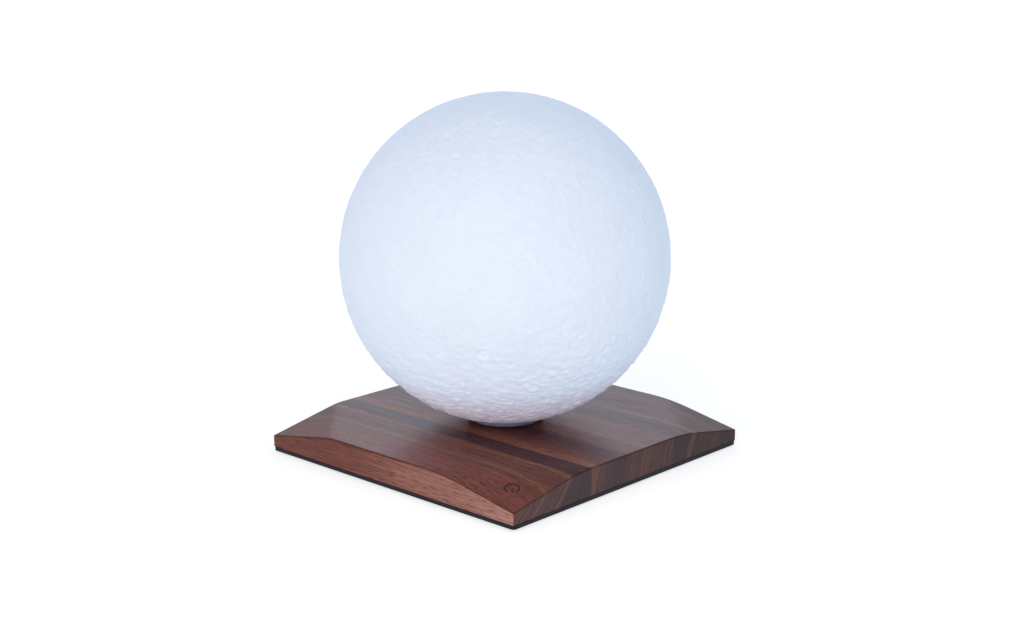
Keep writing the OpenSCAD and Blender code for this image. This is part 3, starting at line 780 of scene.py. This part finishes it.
# Walnut tones, and the three glued boards as
# (side at -Y, lean of the rings at -Y and at +Y, ((place across the rings, tone), ...)), in millimetres
BROWN = tone(120, 67, 55)
RED = tone(136, 74, 62)
DARK = tone(82, 46, 45)
UMBER = tone(97, 54, 47)
TAN = tone(143, 90, 66)
BOARDS = (
    (-90.0, (1.2, 0.43),
     ((-92, RED), (-70, RED), (-66, BROWN), (-62, TAN), (-58, BROWN), (-51, BROWN), (-47, TAN),
      (-43.6, DARK), (-32, DARK))),
    (-32.8, (0.24, 0.3),
     ((-34, TAN), (-28, TAN), (-22, BROWN), (-14, UMBER), (-10, DARK), (-5, DARK), (-2, BROWN),
      (8, BROWN), (12, TAN), (17, BROWN), (36, BROWN))),
    (34.2, (0.35, 1.0),
     ((33, DARK), (50, DARK), (53, TAN), (57, UMBER), (63, UMBER), (74, UMBER), (78, BROWN),
      (83, DARK), (96, DARK))),
)
# Sway of the rings: lengths along X, Y and Z, and how far it goes to each side
SWAY_LENGTHS = (150, 16, 16)
GRAIN_SWAY = 2.4
# Growth rings: their length, the noise that makes them, and their depth on the top and on the end grain
RING_LENGTH = 2.2
RING_SPAN = (0.34, 0.66)
RING_DEPTHS = (0.1, 0.38)
# Fibres: lengths, and their dark and pale shades on the top and on the end grain
FIBRE_LENGTHS = (40, 1.2, 1.2)
FIBRE_DARK = (0.72, 0.9)
FIBRE_PALE = (1.26, 1.1)
# Pores: lengths, the noise that makes them, and their shade on the top and on the end grain
PORE_LENGTHS = (8, 0.6, 0.6)
PORE_SPAN = (0.52, 0.66)
PORE_SHADES = (0.46, 0.82)
# Slow changes of shade: over wide patches, and lighter from -X to +X
PATCH_LENGTHS = (70, 30, 30)
PATCH_SHADES = (0.9, 1.1)
WIDTH_SHADES = (0.96, 1.08)
# The long sides, painted paler and greyer than the top as painted light: factors on their colour, a paler
# tone, where it starts in half widths, its share at +X
SIDE_LIGHT_FACTORS = (1.16, 1.46, 1.6, 1.0)
SIDE_LIGHT_TONE = tone(198, 132, 114)
SIDE_LIGHT_START = -0.3
SIDE_LIGHT_SHARE = 0.78
# The end grain: factors on its colour, and a painted sheen with its share at the front and at the back
END_TINT = (0.5, 0.62, 0.66, 1.0)
END_SHEEN_TONE = tone(164, 150, 156)
END_SHEEN_SHARES = (0.198, 0.107)
# Part of a face's normal along an axis where it starts to count as a side, and where it fully does
SQUARE_SPAN = (0.6, 0.95)
# Painted shade along the rounded arris: its tone and its share
ARRIS_SHADE_TONE = tone(38, 22, 20)
ARRIS_SHADE_SHARE = 0.5


def facing(g, axis):
    """1 on faces square to an axis, and 0 on the others."""
    return g.between(g.math("ABSOLUTE", g.axes("Normal")[axis]), *SQUARE_SPAN, 0.0, 1.0)


def board_colours(g, y, z, end):
    """Tones of the three boards, with growth rings that lean as they go down."""
    wander = g.math("SUBTRACT", g.noise(SWAY_LENGTHS, detail=1.0), 0.5)
    sway = g.math("MULTIPLY", wander, 2 * GRAIN_SWAY * MM)
    depth = g.math("SUBTRACT", z, top_z)
    ring_depth = g.share(end, *RING_DEPTHS)
    colour = None
    for side, leans, stops in BOARDS:
        low, high = stops[0][0], stops[-1][0]
        lean = g.between(y, low * MM, high * MM, *leans)
        across = g.math("ADD", g.math("SUBTRACT", y, g.math("MULTIPLY", depth, lean)), sway)
        place = g.between(across, low * MM, high * MM, 0.0, 1.0)
        board = g.ramp(place, [((s - low) / (high - low), c) for s, c in stops])
        rings = g.between(g.noise_along(across, RING_LENGTH, detail=1.0), *RING_SPAN, -1.0, 1.0)
        board = g.mix(1.0, board, g.math("MULTIPLY_ADD", rings, ring_depth, 1.0), "MULTIPLY")
        past = g.math("GREATER_THAN", y, side * MM)
        colour = board if colour is None else g.mix(past, colour, board)
    return colour


def walnut_material():
    """Three glued walnut boards with fibres along X and pores, under satin oil, with painted light on the
    long sides, a painted sheen on the end grain and painted shade along the arris.
    """
    g = new_material("walnut")
    x, y, z = g.axes()
    end = facing(g, 0)
    long_side = facing(g, 1)
    fibres = g.noise(FIBRE_LENGTHS, detail=3.0)
    streaks = g.spread(fibres, g.share(end, *FIBRE_DARK), g.share(end, *FIBRE_PALE))
    pores = g.between(g.noise(PORE_LENGTHS), *PORE_SPAN, 1.0, g.share(end, *PORE_SHADES))
    patches = g.spread(g.noise(PATCH_LENGTHS), *PATCH_SHADES)
    lighter_to_plus_x = g.between(x, -half_w, half_w, *WIDTH_SHADES)
    # Painted light: the long sides are painted paler and greyer than the top, and paler still towards +X.
    side_light_tint = g.mix(long_side, WHITE, SIDE_LIGHT_FACTORS)
    end_tint = g.mix(end, WHITE, END_TINT)
    side_light = g.math("MULTIPLY", long_side, g.between(x, SIDE_LIGHT_START * half_w, half_w, 0.0, SIDE_LIGHT_SHARE))
    colour = g.mix(side_light, board_colours(g, y, z, end), SIDE_LIGHT_TONE)
    for shade in (streaks, pores, patches, lighter_to_plus_x, side_light_tint, end_tint):
        colour = g.mix(1.0, colour, shade, "MULTIPLY")
    # Painted sheen: the end grain is mixed towards a pale grey, more at the front.
    end_sheen = g.math("MULTIPLY", end, g.between(y, -half_w, half_w, *END_SHEEN_SHARES))
    colour = g.mix(end_sheen, colour, END_SHEEN_TONE)
    # Painted shade: the rounded arris is painted darker.
    edge = g.add("Attribute", attribute_name="arris").outputs["Fac"]
    colour = g.mix(g.math("MULTIPLY", edge, ARRIS_SHADE_SHARE), colour, ARRIS_SHADE_TONE)
    g.set(Base_Color=colour, Specular_IOR_Level=0.1)
    g.set(Roughness=g.spread(fibres, 0.24, 0.38))
    g.set(Normal=g.bump(g.math("MULTIPLY", pores, fibres), 0.08, 0.4))
    return g.owner


def inside_wood_material():
    """Milled, unoiled walnut inside the base."""
    g = new_material("walnut_raw")
    fibres = g.noise((60, 1.2, 1.2), detail=3.0)
    g.set(Base_Color=g.tones(fibres, (92, 62, 48), (128, 90, 68)))
    g.set(Roughness=g.spread(fibres, 0.65, 0.8))
    g.set(Normal=g.bump(fibres, 0.08))
    return g.owner


def burnt_wood_material():
    """Scorched walnut in the grooves of the mark."""
    g = new_material("walnut_burnt")
    char = g.noise((1.2, 0.6, 0.6), detail=3.0)
    g.set(Base_Color=g.tones(char, (28, 18, 15), (52, 33, 27)))
    g.set(Roughness=g.spread(char, 0.7, 0.85))
    g.set(Normal=g.bump(char, 0.05))
    return g.owner


def seen_directly(g):
    """1 where the camera, a reflection or glass looks at a surface, and 0 where its light is gathered."""
    path = g.add("LightPath")
    seen = g.math("MAXIMUM", path.outputs["Is Camera Ray"], path.outputs["Is Glossy Ray"])
    return g.math("MAXIMUM", seen, path.outputs["Is Transmission Ray"])


def add_world():
    """White to look at; as light it is a little blue, and dimmer from behind and from above."""
    world = bpy.data.worlds.new("studio")
    bpy.context.scene.world = world
    g = Graph(world, "Background")
    toward = g.add("VectorMath", operation="DOT_PRODUCT")
    g.feed(toward.inputs[0], g.place.outputs["Generated"])
    toward.inputs[1].default_value = direction(FRONT_AZIMUTH, 0)
    level = g.between(toward.outputs["Value"], -1.0, 1.0, AMBIENT_BACK, AMBIENT_FRONT)
    above = g.share(g.axes("Generated")[2], 1.0, AMBIENT_ABOVE)
    strength = g.share(seen_directly(g), g.math("MULTIPLY", level, above), 1.0)
    camera_ray = g.add("LightPath").outputs["Is Camera Ray"]
    g.set(Color=g.mix(camera_ray, AMBIENT_COLOUR, WHITE), Strength=strength)


def add_floor():
    """A plain pale floor that keeps the object's shadow."""
    corners = [(x * FLOOR_REACH, y * FLOOR_REACH, 0) for x, y in ((-1, -1), (1, -1), (1, 1), (-1, 1))]
    mesh = bpy.data.meshes.new("floor")
    mesh.from_pydata(corners, [], [(0, 1, 2, 3)])
    g = new_material("floor")
    g.set(Base_Color=g.tones(g.noise((300, 300, 300)), (232, 232, 232), (236, 236, 236)))
    g.set(Roughness=0.9, Specular_IOR_Level=0.1, Emission_Color=WHITE)
    glow = g.between(g.off_axis(), FLOOR_NEAR_R, FLOOR_FAR_R, FLOOR_GLOW_NEAR, FLOOR_GLOW_FAR)
    g.set(Emission_Strength=g.math("MULTIPLY", seen_directly(g), glow))
    mesh.materials.append(g.owner)
    floor = bpy.data.objects.new("floor", mesh)
    bpy.context.scene.collection.objects.link(floor)


def add_light(name, azimuth, elevation, distance, size, power, colour):
    """A soft round lamp that looks at the middle of the object."""
    data = bpy.data.lights.new(name, "AREA")
    data.shape = "DISK"
    data.size = size
    data.energy = power
    data.color = colour
    lamp = bpy.data.objects.new(name, data)
    back = direction(azimuth, elevation)
    lamp.location = (cad_low + cad_high) / 2 + back * distance
    lamp.rotation_euler = back.to_track_quat("Z", "Y").to_euler()
    bpy.context.scene.collection.objects.link(lamp)


def add_camera():
    """The photograph's camera, aimed from the foot of the object."""
    back = direction(CAMERA_AZIMUTH, CAMERA_ELEVATION)
    right = direction(CAMERA_AZIMUTH + 90, 0)
    up = back.cross(right)
    foot = Vector((0, 0, plate_low.z))
    data = bpy.data.cameras.new("camera")
    data.lens = CAMERA_LENS
    data.sensor_width = SENSOR_W
    data.clip_end = CLIP_END
    camera = bpy.data.objects.new("camera", data)
    camera.location = foot + back * CAMERA_DISTANCE
    aim = foot + right * AIM_RIGHT + up * AIM_UP
    level = (aim - camera.location).to_track_quat("-Z", "Y")
    camera.rotation_euler = (level @ Quaternion((0, 0, 1), math.radians(CAMERA_ROLL))).to_euler()
    bpy.context.scene.collection.objects.link(camera)
    bpy.context.scene.camera = camera


add_camera()
add_world()
add_floor()
for lamp_name, lamp in LAMPS.items():
    add_light(lamp_name, *lamp)
bpy.context.scene.view_settings.view_transform = "Standard"

materials = {slot: plain_material(slot) for slot in PLAIN_FINISHES}
materials["copper"] = copper_material()
materials["board_green"] = circuit_material()
materials["led"] = led_material()
materials["cap_plastic"] = cap_material()
materials["plate_black"] = plate_material()
materials["moon_print"] = moon_material()
materials["walnut"] = walnut_material()

moon = build_moon()
moon.data.materials.append(materials["moon_print"])
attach(moon, "moon")
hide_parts("moon_shell")

base = build_block()
base.data.materials.append(materials["walnut"])
cut_block(base, inside_wood_material(), burnt_wood_material())
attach(base, "base")
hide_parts("walnut_block")

for part in frame["record"]["subparts"]:
    node = frame["nodes"][part["node"]]
    if not node.material_slots:
        node.data.materials.append(None)
    for slot in node.material_slots:
        slot.material = materials[part["material_slot"]]
